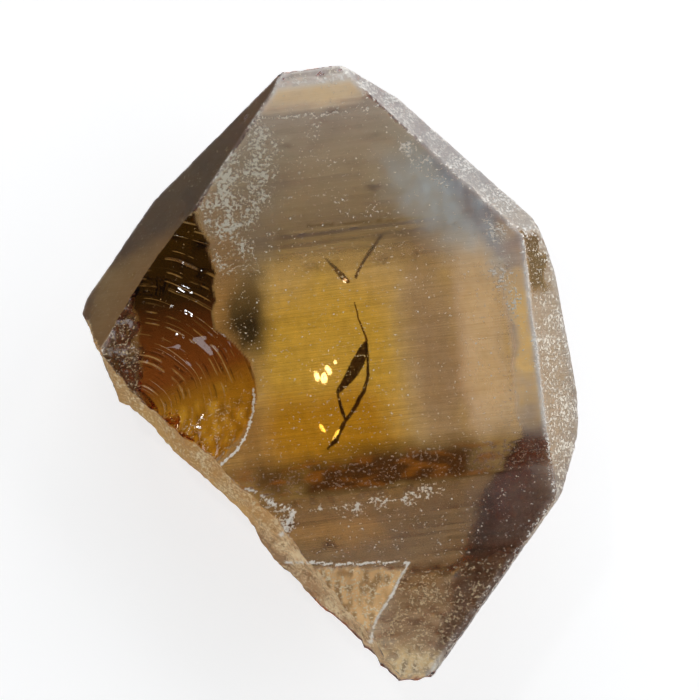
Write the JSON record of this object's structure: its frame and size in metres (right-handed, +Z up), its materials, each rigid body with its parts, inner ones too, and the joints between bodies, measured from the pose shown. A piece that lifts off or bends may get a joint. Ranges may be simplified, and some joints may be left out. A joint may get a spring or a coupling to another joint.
{
  "type": "citrine crystal point",
  "caption": "Large flat smoky citrine quartz crystal with a chisel point, broken lower corner and shell-shaped scar, lying on its back face.",
  "frame": {"origin": "under the middle of the crystal's box, on the surface that it lies on", "axes": "+Y along the crystal's long axis towards the chisel point, +Z up out of the broad front prism face, +X to the right seen from above"},
  "size_m": [0.1184, 0.1514, 0.04],
  "materials": {
    "smoky_citrine": "clear smoky amber quartz, frosted and striated growth faces, glossy and crumbled fractures"
  },
  "bodies": {
    "root": {"crystal": "smoky_citrine"}
  },
  "joints": []
}
